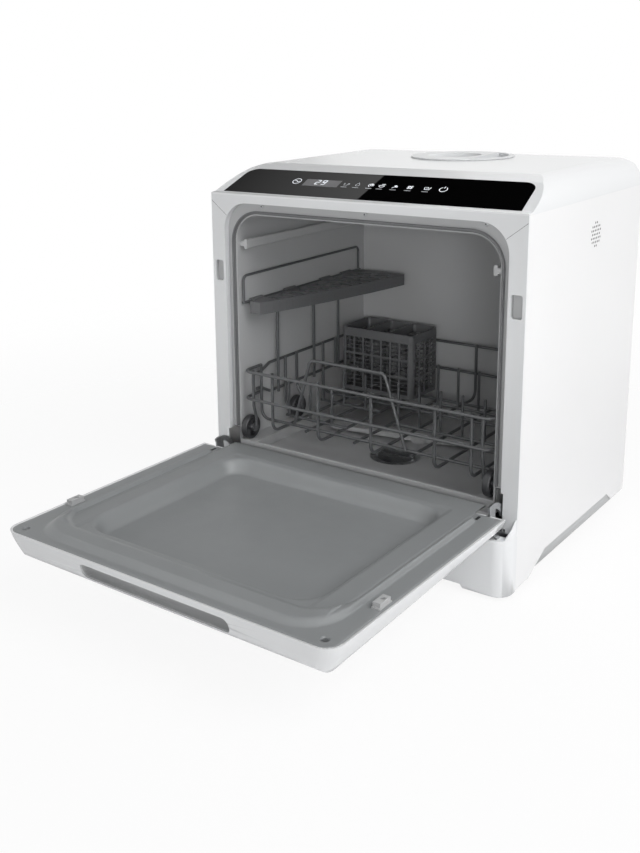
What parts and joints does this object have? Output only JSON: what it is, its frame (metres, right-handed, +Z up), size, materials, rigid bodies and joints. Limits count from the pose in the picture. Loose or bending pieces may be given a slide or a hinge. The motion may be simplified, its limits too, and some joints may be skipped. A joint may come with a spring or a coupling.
{
  "type": "countertop dishwasher",
  "caption": "Compact dishwasher that stands on a countertop, with a drop-down door, rolling wire rack, folding cup shelf, cutlery basket and lift-out fill cap.",
  "frame": {"origin": "centre of the overall footprint, on the countertop", "axes": "+Z up, -Y towards the front with the opened door, +X to the right seen from the front"},
  "size_m": [0.42, 0.705, 0.4539],
  "materials": {
    "white_gloss": "glossy white moulding",
    "white_steel": "glossy white paint",
    "frame_silver": "satin silver-white paint",
    "panel_black": "polished black",
    "board_green": "solder mask",
    "tub_grey": "satin mid grey",
    "light_grey": "satin light grey",
    "seal_rubber": "matte",
    "foot_rubber": "matte",
    "coated_wire": "satin dark-grey coating",
    "dark_plastic": "satin dark grey",
    "base_grey": "matte grey",
    "steel": "brushed",
    "tank_plastic": "translucent natural",
    "pump_plastic": "matte"
  },
  "bodies": {
    "cabinet": {"base_pan": "base_grey", "rubber_feet": "foot_rubber", "plinth": "white_gloss", "left_side_panel": "white_steel", "right_side_panel": "white_steel", "back_panel": "white_steel", "top_cover": "white_gloss", "front_frame": "frame_silver", "control_glass": "panel_black", "display_module": "board_green", "control_board": "board_green", "tub": "tub_grey", "door_seal": "seal_rubber", "flange_screws": "steel", "left_upper_rail": "light_grey", "right_upper_rail": "light_grey", "strike_pockets": "light_grey", "sump": "tub_grey", "wash_pump": "pump_plastic", "drain_pump": "pump_plastic", "heater": "steel", "water_tank": "tank_plastic", "fill_neck": "white_gloss", "drying_fan": "dark_plastic", "inlet_connector": "white_gloss", "drain_connector": "dark_plastic", "power_gland": "dark_plastic", "spray_post": "tub_grey", "hinge_brackets": "steel"},
    "spray_arm": {"spray_arm": "light_grey"},
    "filter": {"filter": "steel"},
    "fill_cap": {"fill_cap": "white_gloss"},
    "door": {"door_skin": "white_gloss", "door_liner": "tub_grey", "door_grip": "light_grey", "door_latches": "light_grey", "hinge_arms": "steel", "door_screws": "steel"},
    "rack": {"rack_floor": "coated_wire", "rack_front": "coated_wire", "rack_left": "coated_wire", "rack_right": "coated_wire", "rack_back": "coated_wire", "plate_tines": "coated_wire", "glass_hoop": "coated_wire", "shelf_posts": "coated_wire", "wheel_axles": "coated_wire"},
    "cup_shelf": {"cup_shelf": "dark_plastic"},
    "cutlery_basket": {"cutlery_basket": "dark_plastic"},
    "wheel_fl": {"wheel_fl": "dark_plastic"},
    "wheel_fr": {"wheel_fr": "dark_plastic"},
    "wheel_ml": {"wheel_ml": "dark_plastic"},
    "wheel_mr": {"wheel_mr": "dark_plastic"},
    "wheel_rl": {"wheel_rl": "dark_plastic"},
    "wheel_rr": {"wheel_rr": "dark_plastic"}
  },
  "joints": [
    {"name": "door_hinge", "type": "hinge", "parent": "cabinet", "child": "door", "pos_m": [0, -0.0165, 0.0815], "axis": [-1, 0, 0], "range_deg": [0, 90]},
    {"name": "rack_slide", "type": "slide", "parent": "cabinet", "child": "rack", "axis": [0, 1, 0], "range_m": [-0.272, 0]},
    {"name": "shelf_fold", "type": "hinge", "parent": "rack", "child": "cup_shelf", "pos_m": [-0.173, 0, 0.282], "axis": [0, -1, 0], "range_deg": [0, 75]},
    {"name": "basket_lift", "type": "slide", "parent": "rack", "child": "cutlery_basket", "axis": [0, 0, 1], "range_m": [0, 0.045]},
    {"name": "spray_spin", "type": "hinge", "parent": "cabinet", "child": "spray_arm", "pos_m": [0, 0.1685, 0.095], "axis": [0, 0, 1], "continuous": true},
    {"name": "filter_turn", "type": "hinge", "parent": "cabinet", "child": "filter", "pos_m": [0, 0.1015, 0.085], "axis": [0, 0, 1], "range_deg": [0, 60]},
    {"name": "cap_lift", "type": "slide", "parent": "cabinet", "child": "fill_cap", "axis": [0, 0, 1], "range_m": [0, 0.06]},
    {"name": "wheel_fl_roll", "type": "hinge", "parent": "rack", "child": "wheel_fl", "pos_m": [-0.1698, 0.0215, 0.117], "axis": [1, 0, 0], "range_deg": [-1, 1010]},
    {"name": "wheel_fr_roll", "type": "hinge", "parent": "rack", "child": "wheel_fr", "pos_m": [0.1698, 0.0215, 0.117], "axis": [1, 0, 0], "range_deg": [-1, 1010]},
    {"name": "wheel_ml_roll", "type": "hinge", "parent": "rack", "child": "wheel_ml", "pos_m": [-0.1698, 0.1245, 0.117], "axis": [1, 0, 0], "range_deg": [-1, 1010]},
    {"name": "wheel_mr_roll", "type": "hinge", "parent": "rack", "child": "wheel_mr", "pos_m": [0.1698, 0.1245, 0.117], "axis": [1, 0, 0], "range_deg": [-1, 1010]},
    {"name": "wheel_rl_roll", "type": "hinge", "parent": "rack", "child": "wheel_rl", "pos_m": [-0.1698, 0.2755, 0.117], "axis": [1, 0, 0], "range_deg": [-1, 1010]},
    {"name": "wheel_rr_roll", "type": "hinge", "parent": "rack", "child": "wheel_rr", "pos_m": [0.1698, 0.2755, 0.117], "axis": [1, 0, 0], "range_deg": [-1, 1010]}
  ],
  "couplings": [
    {"joint": "wheel_fl_roll", "follows": "rack_slide", "rad_per_m": -64.516},
    {"joint": "wheel_fr_roll", "follows": "rack_slide", "rad_per_m": -64.516},
    {"joint": "wheel_ml_roll", "follows": "rack_slide", "rad_per_m": -64.516},
    {"joint": "wheel_mr_roll", "follows": "rack_slide", "rad_per_m": -64.516},
    {"joint": "wheel_rl_roll", "follows": "rack_slide", "rad_per_m": -64.516},
    {"joint": "wheel_rr_roll", "follows": "rack_slide", "rad_per_m": -64.516}
  ]
}
